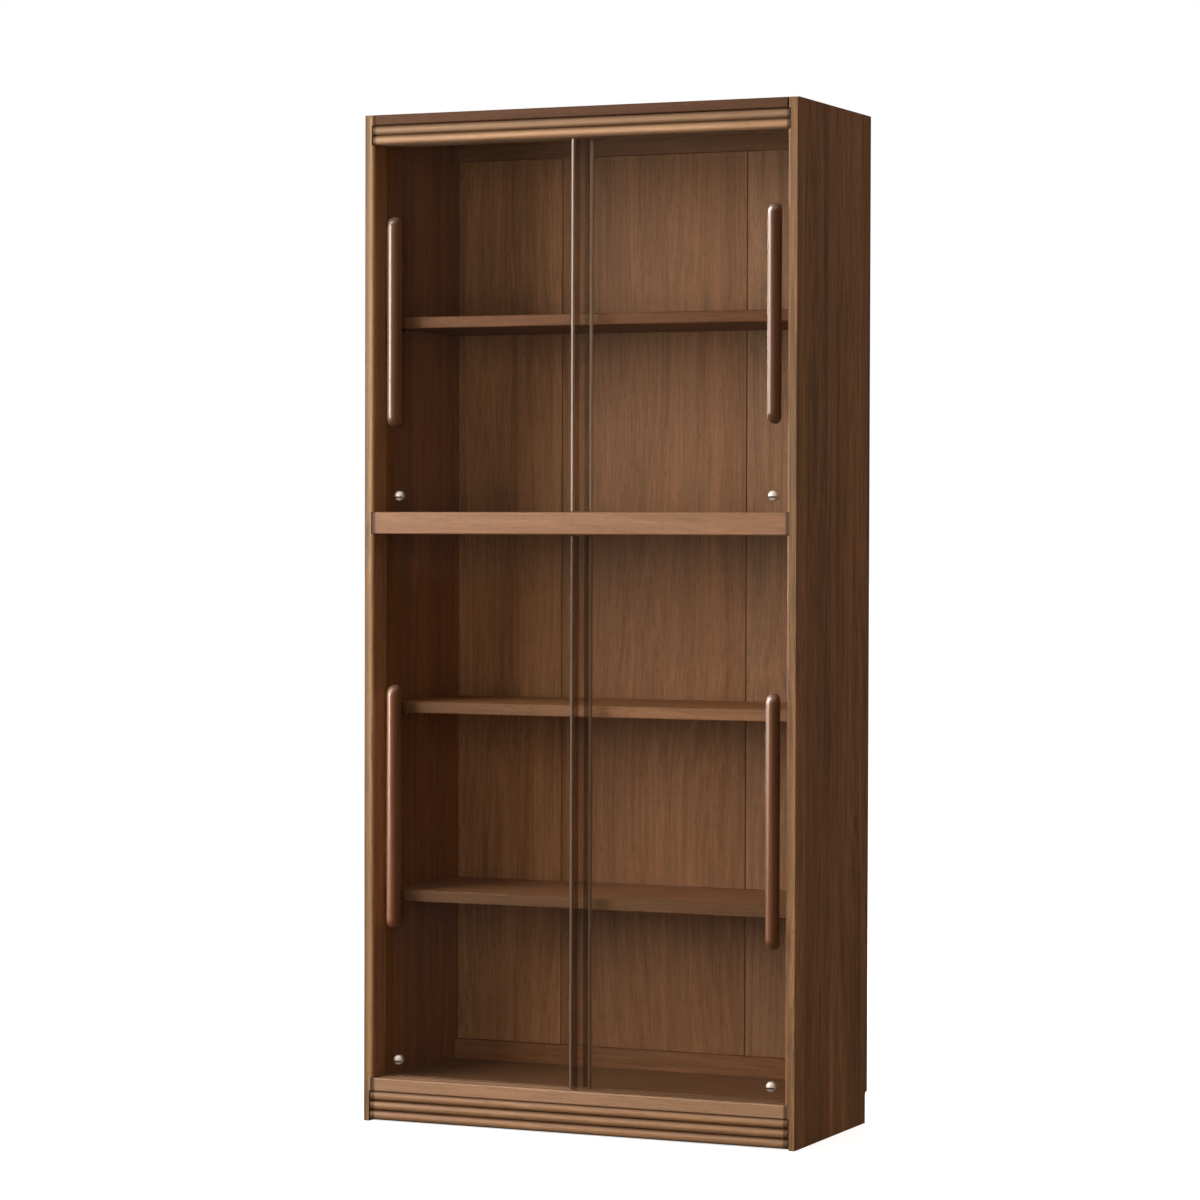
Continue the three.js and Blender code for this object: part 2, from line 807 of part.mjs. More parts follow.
// Tracks and doors
for (const opening of openings) {
  addPiece(`${opening.name}_front_track_liner`, trackLiner(frontPaneY, opening.railTop), 'liner');
  addPiece(`${opening.name}_rear_track_liner`, trackLiner(rearPaneY, opening.railTop), 'liner');
  addDoor(opening, 'left');
  addDoor(opening, 'right');
}

// The outline runs from the front of the front-track handles to the back of the side panels
const outlineFront = frontPaneY - handleDepth;
bookcase.position.set(-carcassWidth / 2, -(outlineFront + carcassDepth) / 2, 0);

export default bookcase;
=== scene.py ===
"""Looks of the bookcase with sliding glass doors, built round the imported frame, in metres."""

import json
import math

import bmesh
import bpy
from mathutils import Matrix, Vector


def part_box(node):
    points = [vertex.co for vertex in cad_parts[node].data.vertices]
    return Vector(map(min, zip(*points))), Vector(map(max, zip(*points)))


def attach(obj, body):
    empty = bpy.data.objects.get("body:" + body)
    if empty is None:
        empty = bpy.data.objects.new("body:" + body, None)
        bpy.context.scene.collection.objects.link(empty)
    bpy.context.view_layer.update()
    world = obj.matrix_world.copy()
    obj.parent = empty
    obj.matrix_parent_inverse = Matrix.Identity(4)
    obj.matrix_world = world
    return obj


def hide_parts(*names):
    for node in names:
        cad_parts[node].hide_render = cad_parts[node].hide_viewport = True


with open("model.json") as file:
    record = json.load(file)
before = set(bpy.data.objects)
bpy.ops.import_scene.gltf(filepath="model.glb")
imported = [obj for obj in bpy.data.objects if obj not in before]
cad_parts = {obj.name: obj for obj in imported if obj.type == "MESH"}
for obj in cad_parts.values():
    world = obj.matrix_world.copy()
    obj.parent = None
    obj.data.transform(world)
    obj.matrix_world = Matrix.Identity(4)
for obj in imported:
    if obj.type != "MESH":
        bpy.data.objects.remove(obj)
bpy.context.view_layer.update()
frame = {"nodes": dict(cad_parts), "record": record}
nodes = frame["nodes"]
body_of_node = {
    name: body
    for body, names in frame["record"]["behaviour"]["bodies"].items()
    for name in names
}
slot_of_node = {row["node"]: row["material_slot"] for row in frame["record"]["subparts"]}
MM = 0.001

# Camera, in the photograph's pixels and in the frame's metres
PHOTO_SIZE = 1200
FOCAL_PIXELS = 3892
CENTRE_PIXEL = (601.6, 606)
SENSOR_WIDTH = 36
CAMERA_PLACE = (2.704, -6.1595, 1.034)
CAMERA_YAW = math.radians(23.90)
CAMERA_PITCH = math.radians(-1.19)
CAMERA_ROLL = math.radians(0.16)
CAMERA_REACH = (0.1, 100)


def make_camera():
    """The camera at the photograph's place, with a shift only as large as its framing needs."""
    data = bpy.data.cameras.new("camera")
    data.sensor_width = SENSOR_WIDTH
    data.lens = SENSOR_WIDTH * FOCAL_PIXELS / PHOTO_SIZE
    data.shift_x = (PHOTO_SIZE / 2 - CENTRE_PIXEL[0]) / PHOTO_SIZE
    data.shift_y = (CENTRE_PIXEL[1] - PHOTO_SIZE / 2) / PHOTO_SIZE
    data.clip_start, data.clip_end = CAMERA_REACH
    camera = bpy.data.objects.new("camera", data)
    bpy.context.scene.collection.objects.link(camera)
    right = Vector((math.cos(CAMERA_YAW), math.sin(CAMERA_YAW), 0))
    level = Vector((-math.sin(CAMERA_YAW), math.cos(CAMERA_YAW), 0))
    forward = level * math.cos(CAMERA_PITCH) + Vector((0, 0, math.sin(CAMERA_PITCH)))
    up = right.cross(forward)
    side = right * math.cos(CAMERA_ROLL) + up * math.sin(CAMERA_ROLL)
    top = up * math.cos(CAMERA_ROLL) - right * math.sin(CAMERA_ROLL)
    turn = Matrix((side, top, -forward)).transposed()
    camera.matrix_world = Matrix.Translation(CAMERA_PLACE) @ turn.to_4x4()
    bpy.context.scene.camera = camera


class Graph:
    """A node tree being filled, with short ways to add its nodes and join them."""

    def __init__(self, tree):
        self.tree = tree
        tree.nodes.clear()

    def node(self, kind, inputs=None, **settings):
        """A new node; each input takes a value or another node's output."""
        made = self.tree.nodes.new(kind)
        for key, value in settings.items():
            setattr(made, key, value)
        for key, value in (inputs or {}).items():
            if isinstance(value, bpy.types.NodeSocket):
                self.tree.links.new(value, made.inputs[key])
            else:
                made.inputs[key].default_value = value
        return made

    def math(self, operation, first, second=0.0):
        made = self.node("ShaderNodeMath", {0: first, 1: second}, operation=operation)
        return made.outputs[0]

    def mix(self, factor, first, second, blend="MIX"):
        values = {0: factor, 6: first, 7: second}
        made = self.node("ShaderNodeMix", values, data_type="RGBA", blend_type=blend)
        return made.outputs[2]

    def tinted(self, colour, tint):
        """The colour with each channel multiplied by the tint's."""
        return self.mix(1.0, colour, tint, "MULTIPLY")

    def grey(self, value):
        """A colour whose three channels are all the value."""
        return self.node("ShaderNodeCombineColor", {i: value for i in range(3)}).outputs[0]

    def rescale(self, value, source, target):
        """The value carried from one range to another and held inside it."""
        values = {0: value, 1: source[0], 2: source[1], 3: target[0], 4: target[1]}
        return self.node("ShaderNodeMapRange", values).outputs[0]

    def layer(self, place, grain, settings):
        """One layer of soft noise, from 0 to 1, that is drawn out along the grain."""
        across, along, detail, roughness = settings
        scale = [across] * 3
        scale[grain] = along
        values = {0: place, 1: scale}
        drawn = self.node("ShaderNodeVectorMath", values, operation="MULTIPLY").outputs[0]
        values = {"Vector": drawn, "Scale": 1.0, "Detail": detail, "Roughness": roughness}
        return self.node("ShaderNodeTexNoise", values).outputs["Fac"]


def new_material(name):
    material = bpy.data.materials.new(name)
    material.use_nodes = True
    return material, Graph(material.node_tree)


def linear(red, green, blue):
    """A linear colour from 8-bit screen values."""
    def channel(value):
        share = value / 255
        return share / 12.92 if share <= 0.04045 else ((share + 0.055) / 1.055) ** 2.4

    return (channel(red), channel(green), channel(blue), 1.0)


def scaled(colour, *shares):
    """A colour with a share of each of its channels."""
    return tuple(value * share for value, share in zip(colour, shares)) + (1.0,)


X_AXIS, Y_AXIS, Z_AXIS = 0, 1, 2
NOTHING_TO_ALL = (0.0, 1.0)
MOST_NOISE = (0.3, 0.7)

# Layers of wood noise: noise units a metre across and along the grain, detail and roughness
BEND = (5.0, 0.9, 2.0, 0.5)
RINGS = (60.0, 0.9, 4.0, 0.62)
STREAKS = (260.0, 4.0, 5.0, 0.65)
BROAD = (7.0, 1.1, 2.0, 0.5)
FIBRES = (900.0, 18.0, 2.0, 0.6)
PORES = (1300.0, 60.0, 1.0, 0.5)
WEAR = (22.0, 5.0, 3.0, 0.5)

# What each layer does to the wood's colour, gloss and relief
BEND_REACH = 0.12
RINGS_SHARE = 0.32
STREAKS_SHARE = 0.38
BROAD_SHARE = 0.12
FIBRES_SHARE = 0.18
FIGURE_RANGE = (0.37, 0.63)
PORE_RANGE = (0.60, 0.70)
PORE_COVER = 0.45
PORE_SHADE = (0.3, 0.25, 0.25)
WEAR_ROUGHNESS = 0.12
PORE_ROUGHNESS = 0.12
FIBRE_RELIEF = 0.5
PORE_RELIEF = 0.6
GRAIN_STRENGTH = 0.22
GRAIN_DEPTH = 0.25 * MM
LACQUER_IOR = 1.4
COAT_ROUGHNESS = 0.27

# Staves; painted highlight and shade on front edges; painted shade in the valleys between reeds;
# painted shadow lines where rails meet the side panels
STAVE_START = 0.215
STAVE_JUMP = 7.0
STAVE_TONES = (0.88, 1.1)
EDGE_LIGHT_DEPTH = 1.1 * MM
EDGE_LIGHT_FADE = 0.9
HOLLOW_SHADE_COVER = 0.66
HOLLOW_SHADE = (0.25, 0.2, 0.17)
SHADOW_LINE = 3.2 * MM
SHADOW_LINE_FADE = 0.4
SHADOW_LINE_COVER = 0.8
SHADOW_LINE_SHADE = (0.2, 0.15, 0.12)


def stave_offsets(graph, place, axis, width):
    """Coordinates that jump from one glued stave to the next, and each stave's own number."""
    parts = graph.node("ShaderNodeSeparateXYZ", {0: place}).outputs
    staves = graph.math("DIVIDE", graph.math("ADD", parts[axis], STAVE_START), width)
    stave = graph.math("FLOOR", staves)
    chance = graph.node("ShaderNodeTexWhiteNoise", {"W": stave}, noise_dimensions="1D").outputs
    values = {0: chance["Color"], 3: STAVE_JUMP}
    jump = graph.node("ShaderNodeVectorMath", values, operation="SCALE")
    moved = graph.node("ShaderNodeVectorMath", {0: place, 1: jump.outputs[0]}, operation="ADD")
    return moved.outputs[0], chance["Value"]


def bent_along(graph, place, grain):
    """Coordinates that wander a little, so that the figure isn't straight."""
    bend = graph.math("MULTIPLY", graph.layer(place, grain, BEND), BEND_REACH)
    shift = graph.node("ShaderNodeCombineXYZ", {i: bend for i in range(3)}).outputs[0]
    return graph.node("ShaderNodeVectorMath", {0: place, 1: shift}, operation="ADD").outputs[0]


def wood(
    name, grain, dark, light, gloss=0.46, staves=None, painted_hollow_shade=None, coat=0.0,
    edge_light_and_shade=None, edge_light_and_shade_far=None, shadow_end=None, light_and_shade_by_height=None,
):
    """Satin lacquered walnut: growth figure, streaks, fibres and open pores along one axis.

    staves is the axis across the glued staves and their width, and painted_hollow_shade is Y at the
    reeds' crests and valleys, for painted shade that deepens into the valleys. edge_light_and_shade
    is the front's Y and the tint of painted highlight or shade on its edge, which
    edge_light_and_shade_far changes into its own tint over a range of X. shadow_end is X where a
    rail meets a side panel, where a painted shadow line darkens the rail's ends, and
    light_and_shade_by_height is a range of heights and the tones of painted light and shade at its
    ends.
    """
    material, graph = new_material(name)
    place = graph.node("ShaderNodeTexCoord").outputs["Object"]
    along_x, along_y, along_z = graph.node("ShaderNodeSeparateXYZ", {0: place}).outputs
    tone = None
    if staves:
        place, tone = stave_offsets(graph, place, *staves)

    bent = bent_along(graph, place, grain)
    rings = graph.layer(bent, grain, RINGS)
    streaks = graph.layer(bent, grain, STREAKS)
    broad = graph.layer(place, grain, BROAD)
    fibres = graph.layer(place, grain, FIBRES)
    mixed = graph.math("MULTIPLY", rings, RINGS_SHARE)
    others = ((streaks, STREAKS_SHARE), (broad, BROAD_SHARE), (fibres, FIBRES_SHARE))
    for part, share in others:
        mixed = graph.math("ADD", mixed, graph.math("MULTIPLY", part, share))
    colour = graph.mix(graph.rescale(mixed, FIGURE_RANGE, NOTHING_TO_ALL), dark, light)
    if staves:
        colour = graph.tinted(colour, graph.grey(graph.rescale(tone, NOTHING_TO_ALL, STAVE_TONES)))
    pitted = graph.rescale(graph.layer(place, grain, PORES), PORE_RANGE, NOTHING_TO_ALL)
    open_pore = graph.math("MULTIPLY", pitted, PORE_COVER)
    colour = graph.mix(open_pore, colour, scaled(dark, *PORE_SHADE))

    # Painted highlight and shade on the front edge, its tint changing across X.
    if edge_light_and_shade:
        edge, tint = edge_light_and_shade
        if edge_light_and_shade_far:
            far_tint, reach = edge_light_and_shade_far
            tint = graph.mix(graph.rescale(along_x, reach, NOTHING_TO_ALL), tint, far_tint)
        depths = (edge + EDGE_LIGHT_DEPTH * EDGE_LIGHT_FADE, edge + EDGE_LIGHT_DEPTH)
        in_edge_light = graph.rescale(along_y, depths, (1.0, 0.0))
        colour = graph.mix(in_edge_light, colour, graph.tinted(colour, tint))
    # Painted light and shade by height: lighter low down, darker high up.
    if light_and_shade_by_height:
        colour = graph.tinted(colour, graph.grey(graph.rescale(along_z, *light_and_shade_by_height)))
    # Painted shade in the valleys between reeds, deeper the further behind the crests.
    if painted_hollow_shade:
        in_hollow_shade = graph.rescale(along_y, painted_hollow_shade, (0.0, HOLLOW_SHADE_COVER))
        colour = graph.mix(in_hollow_shade, colour, scaled(dark, *HOLLOW_SHADE))
    # A painted shadow line at the rail's ends, where it meets a side panel.
    if shadow_end:
        reach = (shadow_end - SHADOW_LINE, shadow_end - SHADOW_LINE * SHADOW_LINE_FADE)
        in_shadow_line = graph.rescale(graph.math("ABSOLUTE", along_x), reach, (0.0, SHADOW_LINE_COVER))
        colour = graph.mix(in_shadow_line, colour, scaled(dark, *SHADOW_LINE_SHADE))

    worn = graph.math("MULTIPLY", graph.layer(place, grain, WEAR), WEAR_ROUGHNESS)
    least = graph.math("ADD", worn, gloss - WEAR_ROUGHNESS / 2)
    roughness = graph.math("ADD", least, graph.math("MULTIPLY", pitted, PORE_ROUGHNESS))
    raised = graph.math("MULTIPLY", fibres, FIBRE_RELIEF)
    relief = graph.math("SUBTRACT", raised, graph.math("MULTIPLY", pitted, PORE_RELIEF))
    values = {"Strength": GRAIN_STRENGTH, "Distance": GRAIN_DEPTH, "Height": relief}
    shader = graph.node(
        "ShaderNodeBsdfPrincipled",
        {
            "Base Color": colour,
            "Roughness": roughness,
            "Normal": graph.node("ShaderNodeBump", values).outputs[0],
            "IOR": LACQUER_IOR,
            "Coat Weight": coat,
            "Coat Roughness": COAT_ROUGHNESS,
        },
    )
    graph.node("ShaderNodeOutputMaterial", {0: shader.outputs[0]})
    return material


GLASS_IOR = 1.5
GLASS_MIRROR = (0.95, 0.96, 0.95, 1.0)
GLASS_SMEAR = (9.0, 4.0, 4.0, 0.5)
GLASS_ROUGHNESS = (0.01, 0.03)


def clear_glass(name, tint, sheen):
    """Float glass: what is behind shows through a faint tint, under a thin reflection."""
    material, graph = new_material(name)
    see = graph.node("ShaderNodeBsdfTransparent", {0: tint})
    place = graph.node("ShaderNodeTexCoord").outputs["Object"]
    smear = graph.layer(place, Z_AXIS, GLASS_SMEAR)
    gloss = graph.node(
        "ShaderNodeBsdfPrincipled",
        {
            "Base Color": GLASS_MIRROR,
            "Roughness": graph.rescale(smear, MOST_NOISE, GLASS_ROUGHNESS),
            "Metallic": 1.0,
        },
    )
    edge = graph.node("ShaderNodeFresnel", {"IOR": GLASS_IOR}).outputs[0]
    cover = graph.math("MULTIPLY", edge, sheen)
    mixed = graph.node("ShaderNodeMixShader", {0: cover, 1: see.outputs[0], 2: gloss.outputs[0]})
    graph.node("ShaderNodeOutputMaterial", {0: mixed.outputs[0]})
    return material


CLOUDS = (60.0, 3.0, 2.0, 0.5)
CLOUD_RANGE = (0.25, 0.75)
CLOUD_ROUGHNESS = 0.08
CLOUD_THINNEST, CLOUD_THICKEST = 0.8, 1.2
SMOKY_TINT = (0.77, 0.71, 0.65, 1.0)


def smoky_plastic(name, colour, cover, gloss, tint=SMOKY_TINT, ior=1.75, coat=1.0):
    """Clear plastic extrusion with soft clouds, which cover a share of what is behind."""
    material, graph = new_material(name)
    place = graph.node("ShaderNodeTexCoord").outputs["Object"]
    cloud = graph.layer(place, Z_AXIS, CLOUDS)
    see = graph.node("ShaderNodeBsdfTransparent", {0: tint})
    body = graph.node(
        "ShaderNodeBsdfPrincipled",
        {
            "Base Color": colour,
            "Roughness": graph.rescale(cloud, MOST_NOISE, (gloss, gloss + CLOUD_ROUGHNESS)),
            "IOR": ior,
            "Coat Weight": coat,
            "Coat Roughness": gloss,
        },
    )
    covers = (cover * CLOUD_THINNEST, min(1.0, cover * CLOUD_THICKEST))
    amount = graph.rescale(cloud, CLOUD_RANGE, covers)
    mixed = graph.node("ShaderNodeMixShader", {0: amount, 1: see.outputs[0], 2: body.outputs[0]})
    graph.node("ShaderNodeOutputMaterial", {0: mixed.outputs[0]})
    return material


TURNING_MARKS = (2500.0, 400.0, 2.0, 0.5)
METAL_CLOUDS = (180.0, 180.0, 2.0, 0.5)
METAL_SHADE = (0.82, 0.82, 0.82)
METAL_STRENGTH = 0.1
MARK_DEPTH = 0.1 * MM
MARK_ROUGHNESS = (-0.05, 0.08)


def brushed_metal(name, colour, gloss, metallic=1.0):
    """Plated steel with fine turning marks."""
    material, graph = new_material(name)
    place = graph.node("ShaderNodeTexCoord").outputs["Object"]
    marks = graph.layer(place, Y_AXIS, TURNING_MARKS)
    cloud = graph.layer(place, Y_AXIS, METAL_CLOUDS)
    values = {"Strength": METAL_STRENGTH, "Distance": MARK_DEPTH, "Height": marks}
    roughness = tuple(gloss + change for change in MARK_ROUGHNESS)
    shader = graph.node(
        "ShaderNodeBsdfPrincipled",
        {
            "Base Color": graph.mix(cloud, scaled(colour, *METAL_SHADE), colour),
            "Roughness": graph.rescale(marks, MOST_NOISE, roughness),
            "Normal": graph.node("ShaderNodeBump", values).outputs[0],
            "Metallic": metallic,
        },
    )
    graph.node("ShaderNodeOutputMaterial", {0: shader.outputs[0]})
    return material


PLASTIC_SKIN = (1400.0, 120.0, 2.0, 0.5)
PLASTIC_CLOUDS = (40.0, 8.0, 2.0, 0.5)
PLASTIC_SHADE = (0.8, 0.8, 0.8)
PLASTIC_STRENGTH = 0.12
PLASTIC_ROUGHNESS = (0.42, 0.55)


def matt_plastic(name, colour):
    """Extruded rigid plastic with a fine satin skin."""
    material, graph = new_material(name)
    place = graph.node("ShaderNodeTexCoord").outputs["Object"]
    skin = graph.layer(place, X_AXIS, PLASTIC_SKIN)
    cloud = graph.layer(place, X_AXIS, PLASTIC_CLOUDS)
    values = {"Strength": PLASTIC_STRENGTH, "Distance": MARK_DEPTH, "Height": skin}
    shader = graph.node(
        "ShaderNodeBsdfPrincipled",
        {
            "Base Color": graph.mix(cloud, scaled(colour, *PLASTIC_SHADE), colour),
            "Roughness": graph.rescale(cloud, MOST_NOISE, PLASTIC_ROUGHNESS),
            "Normal": graph.node("ShaderNodeBump", values).outputs[0],
        },
    )
    graph.node("ShaderNodeOutputMaterial", {0: shader.outputs[0]})
    return material


DARK_SIDE = 1.1


def shades(red, green, blue, spread=0.13):
    """A darker and a lighter linear colour either side of a screen colour."""
    middle = linear(red, green, blue)
    dark = scaled(middle, *[(1 - DARK_SIDE * spread) ** 2] * 3)
    light = scaled(middle, *[(1 + spread) ** 2] * 3)
    return dark, light


SIDE_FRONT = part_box("left_side_panel")[0][1]
SIDE_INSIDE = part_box("right_side_panel")[0][0]
SIDE_STAVES = (Y_AXIS, 0.096)
# Ranges of X over which the painted highlight and shade on the side panels' front edges change tint
LEFT_EDGE_LIGHT_RANGE = (-SIDE_INSIDE - 15 * MM, -SIDE_INSIDE - 4 * MM)
RIGHT_EDGE_LIGHT_RANGE = (SIDE_INSIDE - 1 * MM, SIDE_INSIDE + 15 * MM)
SHELF_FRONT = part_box("middle_shelf")[0][1]
# Range of X over which the painted shade on the shelves' front edges changes
SHELF_EDGE_SHADE_RANGE = (-0.36, 0.12)
REED_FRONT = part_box("plinth")[0][1]
# Depths behind the reeds' crests over which painted shade darkens the valleys
REED_SHADE_DEPTHS = (REED_FRONT + 0.2 * MM, REED_FRONT + 2.8 * MM)
# Painted light and shade over the head rail's height: lighter at its foot, darker at its top
HEAD_HEIGHTS = (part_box("head_rail")[0][2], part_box("head_rail")[1][2])
HEAD_LIGHT_AND_SHADE = (1.5, 0.66)
BACK_GLOSS = 0.5
FLANGE_COLOUR = (0.2, 0.13, 0.09, 1.0)
FLANGE_COVER = 0.04
FLANGE_GLOSS = 0.12

materials = {
    # The side panels' front edges carry painted highlight and shade.
    "left_side": wood(
        "left_side_walnut", Z_AXIS, *shades(140, 94, 59, 0.24), staves=SIDE_STAVES,
        edge_light_and_shade=(SIDE_FRONT, (0.5, 0.56, 0.54, 1.0)),
        edge_light_and_shade_far=((1.15, 1.6, 1.9, 1.0), LEFT_EDGE_LIGHT_RANGE),
    ),
    "right_side": wood(
        "right_side_walnut", Z_AXIS, *shades(135, 90, 56, 0.36), staves=SIDE_STAVES,
        edge_light_and_shade=(SIDE_FRONT, (0.3, 0.36, 0.38, 1.0)),
        edge_light_and_shade_far=((0.78, 0.96, 1.06, 1.0), RIGHT_EDGE_LIGHT_RANGE),
    ),
    # Rails, boards and mouldings with shadow_end get a painted shadow line where they meet a side
    # panel.
    "top": wood("top_walnut", X_AXIS, *shades(76, 45, 21), gloss=0.66, shadow_end=SIDE_INSIDE),
    "inside": wood("inside_walnut", X_AXIS, *shades(116, 80, 53)),
    "bottom": wood("bottom_board_walnut", X_AXIS, *shades(126, 93, 67)),
    # The head rail and plinth carry painted shade in the reeds' valleys and painted shadow lines at
    # their ends; the head rail also painted light and shade by height.
    "head": wood(
        "head_walnut", X_AXIS, *shades(156, 122, 91), painted_hollow_shade=REED_SHADE_DEPTHS,
        shadow_end=SIDE_INSIDE, light_and_shade_by_height=(HEAD_HEIGHTS, HEAD_LIGHT_AND_SHADE),
    ),
    "plinth": wood(
        "plinth_walnut", X_AXIS, *shades(144, 108, 77), painted_hollow_shade=REED_SHADE_DEPTHS,
        shadow_end=SIDE_INSIDE,
    ),
    "rail": wood("rail_walnut", X_AXIS, *shades(131, 94, 66), shadow_end=SIDE_INSIDE),
    "low_rail": wood("low_rail_walnut", X_AXIS, *shades(147, 113, 86), shadow_end=SIDE_INSIDE),
    # back_left and back_right are lighter copies of the back walnut: painted light on the outer
    # back boards.
    "back": wood("back_walnut", Z_AXIS, *shades(130, 91, 61, 0.2), gloss=BACK_GLOSS),
    "back_left": wood("back_left_walnut", Z_AXIS, *shades(143, 102, 70, 0.2), gloss=BACK_GLOSS),
    "batten": wood("batten_walnut", X_AXIS, *shades(118, 80, 52, 0.2), gloss=BACK_GLOSS),
    "back_right": wood("back_right_walnut", Z_AXIS, *shades(142, 106, 78, 0.2), gloss=BACK_GLOSS),
    "high_shelf": wood("high_shelf_walnut", X_AXIS, *shades(103, 65, 35, 0.18)),
    # The middle and lower shelves' front edges carry painted shade, darker towards the left.
    "middle_shelf": wood(
        "middle_shelf_walnut", X_AXIS, *shades(161, 116, 79, 0.18),
        edge_light_and_shade=(SHELF_FRONT, (0.26, 0.22, 0.18, 1.0)),
        edge_light_and_shade_far=((0.71, 0.73, 0.82, 1.0), SHELF_EDGE_SHADE_RANGE),
    ),
    "low_shelf": wood(
        "low_shelf_walnut", X_AXIS, *shades(148, 108, 80, 0.18),
        edge_light_and_shade=(SHELF_FRONT, (0.37, 0.34, 0.26, 1.0)),
        edge_light_and_shade_far=((0.48, 0.45, 0.35, 1.0), SHELF_EDGE_SHADE_RANGE),
    ),
    "handle": wood("handle_walnut", Z_AXIS, *shades(91, 54, 32), gloss=0.36, coat=1.0),
    "glass": clear_glass("door_glass", (0.975, 0.965, 0.945, 1.0), 0.4),
    "strip_flange": smoky_plastic(
        "edge_strip_flange", FLANGE_COLOUR, FLANGE_COVER, FLANGE_GLOSS
    ),
    "strip_nose": smoky_plastic("edge_strip_nose", (0.27, 0.19, 0.14, 1.0), 0.72, 0.46, coat=0.6),
    # The lower doors' strips are darker copies of the upper ones: painted shade.
    "low_strip_flange": smoky_plastic(
        "lower_edge_strip_flange", FLANGE_COLOUR, FLANGE_COVER, FLANGE_GLOSS,
        tint=(0.64, 0.56, 0.49, 1.0),
    ),
    "low_strip_nose": smoky_plastic(
        "lower_edge_strip_nose", (0.18, 0.12, 0.08, 1.0), 0.6, 0.5,
        tint=(0.7, 0.63, 0.56, 1.0), ior=1.4, coat=0.0,
    ),
    "liner": matt_plastic("track_liner_plastic", linear(70, 52, 40)),
    "steel": brushed_metal("zinc_steel", (0.62, 0.6, 0.57, 1.0), 0.3),
    "button": brushed_metal("bright_button", (0.8, 0.73, 0.66, 1.0), 0.38, 0.5),
    "button_slot": brushed_metal("button_slot_shade", (0.14, 0.1, 0.07, 1.0), 0.5, 0.3),
}

MATERIAL_OF_NODE = {
    "left_side_panel": "left_side",
    "right_side_panel": "right_side",
    "top_board": "top",
    "head_rail": "head",
    "middle_rail": "rail",
    "bottom_rail": "low_rail",
    "bottom_board": "bottom",
    "left_back_board": "back_left",
    "centre_back_board": "back",
    "right_back_board": "back_right",
    "top_back_batten": "batten",
    "bottom_back_batten": "batten",
    "upper_shelf": "high_shelf",
    "middle_shelf": "middle_shelf",
    "lower_shelf": "low_shelf",
}
MATERIAL_OF_SLOT = {
    "carcass_wood": "inside",
    "inside_wood": "inside",
    "moulding_wood": "plinth",
    "back_wood": "back",
    "shelf_wood": "middle_shelf",
    "handle_wood": "handle",
    "door_glass": "glass",
    "edge_strip": "strip_flange",
    "track_liner": "liner",
    "pin_steel": "steel",
    "screw_steel": "steel",
    "button": "button",
}


def material_of(node):
    """The material that a CAD node's stand-in takes."""
    return materials[MATERIAL_OF_NODE.get(node) or MATERIAL_OF_SLOT[slot_of_node[node]]]


def stand_in(name, mesh, node):
    """Puts a mesh in the scene in place of a CAD node, on that node's body."""
    piece = bpy.data.objects.new(name, mesh)
    bpy.context.scene.collection.objects.link(piece)
    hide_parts(node)
    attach(piece, body_of_node[node])
    return piece


FLAT_ANGLE = math.radians(1)
ARRIS_ANGLE = math.radians(40)
SHARP_ANGLE = math.radians(35)
ARRIS_SEGMENTS = 2
ROUND_PROFILE = 0.5
WELD = 1e-6
QUARTER_TURN = math.pi / 2


def smooth_mesh(work, name):
    """A mesh from bmesh work, smooth except across sharp edges."""
    mesh = bpy.data.meshes.new(name)
    work.to_mesh(mesh)
    work.free()
    mesh.shade_smooth()
    mesh.set_sharp_from_angle(angle=SHARP_ANGLE)
    return mesh


def arrised(node, arris):
    """A copy of a CAD node with its sharp edges sanded to a small radius."""
    work = bmesh.new()
    work.from_mesh(nodes[node].data)
    bmesh.ops.remove_doubles(work, verts=work.verts, dist=WELD)
    bmesh.ops.dissolve_limit(work, angle_limit=FLAT_ANGLE, verts=work.verts, edges=work.edges)
    if node.endswith("_pane"):
        pane_edge_to_strip(work, node)
    edges = [
        edge for edge in work.edges if edge.is_manifold and edge.calc_face_angle() > ARRIS_ANGLE
    ]
    bmesh.ops.bevel(
        work, geom=edges, offset=arris, offset_type="OFFSET", segments=ARRIS_SEGMENTS,
        profile=ROUND_PROFILE, affect="EDGES", clamp_overlap=True,
    )
    mesh = smooth_mesh(work, node + "_look")
    mesh.materials.append(material_of(node))
    piece = stand_in(node + "_look", mesh, node)
    normals = piece.modifiers.new("normals", "WEIGHTED_NORMAL")
    normals.keep_sharp = True
    return piece


HANDLE_END_RADIUS = 19 * MM
HANDLE_EDGE_RADIUS = 9.5 * MM
HANDLE_CORNER_RADIUS = 9 * MM
HANDLE_END_STEPS = 18
HANDLE_EDGE_STEPS = 8


def rounded_end(reach, radius, short):
    """How far a rounded end has drawn in at a distance short of its tip."""
    if short >= radius:
        return reach
    return reach - radius + math.sqrt(max(0.0, radius * radius - (radius - short) ** 2))


def handle_section(half_width, depth):
    """Points of a handle's section from its back left corner round the front to its back right."""
    radius = min(HANDLE_EDGE_RADIUS, half_width, depth)
    points = [(-half_width, 0.0)]
    for step in range(HANDLE_EDGE_STEPS + 1):
        turn = QUARTER_TURN * step / HANDLE_EDGE_STEPS
        x = -half_width + radius * (1 - math.cos(turn))
        points.append((x, -depth + radius * (1 - math.sin(turn))))
    points += [(-x, y) for x, y in reversed(points)]
    return points


